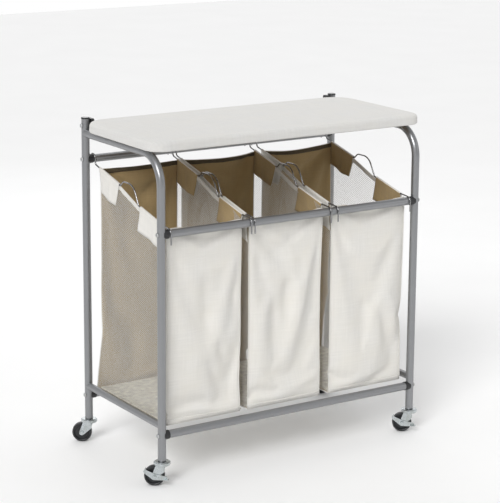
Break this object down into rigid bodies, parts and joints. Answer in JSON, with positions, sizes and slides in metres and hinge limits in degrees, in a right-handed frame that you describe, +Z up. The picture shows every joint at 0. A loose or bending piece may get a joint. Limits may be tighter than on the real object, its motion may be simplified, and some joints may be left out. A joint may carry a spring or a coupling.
{
  "type": "laundry cart",
  "caption": "Rolling tube-frame laundry cart with hanging mesh-sided canvas sorting bags under a hinged, padded ironing board top.",
  "frame": {"origin": "bottom centre of the whole cart's box, on the floor the wheels stand on", "axes": "+X to the cart's right seen from its low front side, +Y to the hinge side at the back, +Z up"},
  "size_m": [0.8054, 0.4234, 0.836],
  "materials": {
    "frame_paint": "satin silver-grey powder coat",
    "black_plastic": "moulded, fine matt grain",
    "cap_plastic": "glossy moulded end cap",
    "zinc_steel": "bright zinc plating",
    "bolt_steel": "zinc plated",
    "handle_wire": "drawn wire, nickel plated",
    "wheel_rubber": "moulded black, fine matt",
    "canvas": "plain weave off-white cotton canvas, tan inside",
    "net": "open polyester net",
    "board_fabric": "plain weave off-white cotton ironing cover",
    "board_foam": "needle felt and foam pad",
    "fibreboard": "pressed fibreboard",
    "base_sheet": "stiff extruded sheet"
  },
  "bodies": {
    "frame": {"bar_bolts": "bolt_steel", "bar_end_nuts": "bolt_steel", "bar_end_plugs": "black_plastic", "caster_balls": "zinc_steel", "caster_sockets": "black_plastic", "caster_stems": "zinc_steel", "front_lower_bar": "frame_paint", "front_upper_bar": "frame_paint", "hinge_bolts": "bolt_steel", "hinge_washers_and_nuts": "bolt_steel", "left_bottom_rail": "frame_paint", "left_front_post": "frame_paint", "left_rear_post": "frame_paint", "post_caps": "cap_plastic", "rear_lower_bar": "frame_paint", "rear_upper_bar": "frame_paint", "right_bottom_rail": "frame_paint", "right_front_post": "frame_paint", "right_rear_post": "frame_paint"},
    "board": {"board_base": "fibreboard", "board_pad": "board_foam", "board_cover": "board_fabric", "left_board_bracket": "black_plastic", "right_board_bracket": "black_plastic", "bracket_screws": "bolt_steel"},
    "left_bag": {"left_bag_base_board": "base_sheet", "left_bag_canvas": "canvas", "left_bag_left_net": "net", "left_bag_left_wire": "handle_wire", "left_bag_right_net": "net", "left_bag_right_wire": "handle_wire"},
    "middle_bag": {"middle_bag_base_board": "base_sheet", "middle_bag_canvas": "canvas", "middle_bag_left_net": "net", "middle_bag_left_wire": "handle_wire", "middle_bag_right_net": "net", "middle_bag_right_wire": "handle_wire"},
    "right_bag": {"right_bag_base_board": "base_sheet", "right_bag_canvas": "canvas", "right_bag_left_net": "net", "right_bag_left_wire": "handle_wire", "right_bag_right_net": "net", "right_bag_right_wire": "handle_wire"},
    "front_left_caster": {"front_left_caster_fork": "zinc_steel", "front_left_caster_axle": "zinc_steel"},
    "front_left_wheel": {"front_left_caster_wheel": "wheel_rubber"},
    "front_left_brake": {"front_left_brake_lever": "zinc_steel"},
    "front_right_caster": {"front_right_caster_fork": "zinc_steel", "front_right_caster_axle": "zinc_steel"},
    "front_right_wheel": {"front_right_caster_wheel": "wheel_rubber"},
    "front_right_brake": {"front_right_brake_lever": "zinc_steel"},
    "rear_left_caster": {"rear_left_caster_fork": "zinc_steel", "rear_left_caster_axle": "zinc_steel"},
    "rear_left_wheel": {"rear_left_caster_wheel": "wheel_rubber"},
    "rear_right_caster": {"rear_right_caster_fork": "zinc_steel", "rear_right_caster_axle": "zinc_steel"},
    "rear_right_wheel": {"rear_right_caster_wheel": "wheel_rubber"}
  },
  "joints": [
    {"name": "board_hinge", "type": "hinge", "parent": "frame", "child": "board", "pos_m": [0.01171, 0.18231, 0.815], "axis": [-1, 0, 0], "range_deg": [0, 95]},
    {"name": "left_bag_lift", "type": "slide", "parent": "frame", "child": "left_bag", "axis": [0, 0, 1], "range_m": [0, 0.045]},
    {"name": "middle_bag_lift", "type": "slide", "parent": "frame", "child": "middle_bag", "axis": [0, 0, 1], "range_m": [0, 0.045]},
    {"name": "right_bag_lift", "type": "slide", "parent": "frame", "child": "right_bag", "axis": [0, 0, 1], "range_m": [0, 0.045]},
    {"name": "front_left_swivel", "type": "hinge", "parent": "frame", "child": "front_left_caster", "pos_m": [-0.35829, -0.18569, 0.055], "axis": [0, 0, 1], "continuous": true},
    {"name": "front_left_wheel_spin", "type": "hinge", "parent": "front_left_caster", "child": "front_left_wheel", "pos_m": [-0.37339, -0.17589, 0.025], "axis": [0.5446, 0.8387, 0], "continuous": true},
    {"name": "front_left_brake_press", "type": "hinge", "parent": "front_left_caster", "child": "front_left_brake", "pos_m": [-0.37339, -0.17589, 0.025], "axis": [0.5446, 0.8387, 0], "range_deg": [0, 12]},
    {"name": "front_right_swivel", "type": "hinge", "parent": "frame", "child": "front_right_caster", "pos_m": [0.38171, -0.18569, 0.055], "axis": [0, 0, 1], "continuous": true},
    {"name": "front_right_wheel_spin", "type": "hinge", "parent": "front_right_caster", "child": "front_right_wheel", "pos_m": [0.36661, -0.17589, 0.025], "axis": [0.5446, 0.8387, 0], "continuous": true},
    {"name": "front_right_brake_press", "type": "hinge", "parent": "front_right_caster", "child": "front_right_brake", "pos_m": [0.36661, -0.17589, 0.025], "axis": [0.5446, 0.8387, 0], "range_deg": [0, 12]},
    {"name": "rear_left_swivel", "type": "hinge", "parent": "frame", "child": "rear_left_caster", "pos_m": [-0.35829, 0.18231, 0.055], "axis": [0, 0, 1], "continuous": true},
    {"name": "rear_left_wheel_spin", "type": "hinge", "parent": "rear_left_caster", "child": "rear_left_wheel", "pos_m": [-0.37339, 0.19212, 0.025], "axis": [0.5446, 0.8387, 0], "continuous": true},
    {"name": "rear_right_swivel", "type": "hinge", "parent": "frame", "child": "rear_right_caster", "pos_m": [0.38171, 0.18231, 0.055], "axis": [0, 0, 1], "continuous": true},
    {"name": "rear_right_wheel_spin", "type": "hinge", "parent": "rear_right_caster", "child": "rear_right_wheel", "pos_m": [0.36661, 0.19212, 0.025], "axis": [0.5446, 0.8387, 0], "continuous": true}
  ]
}
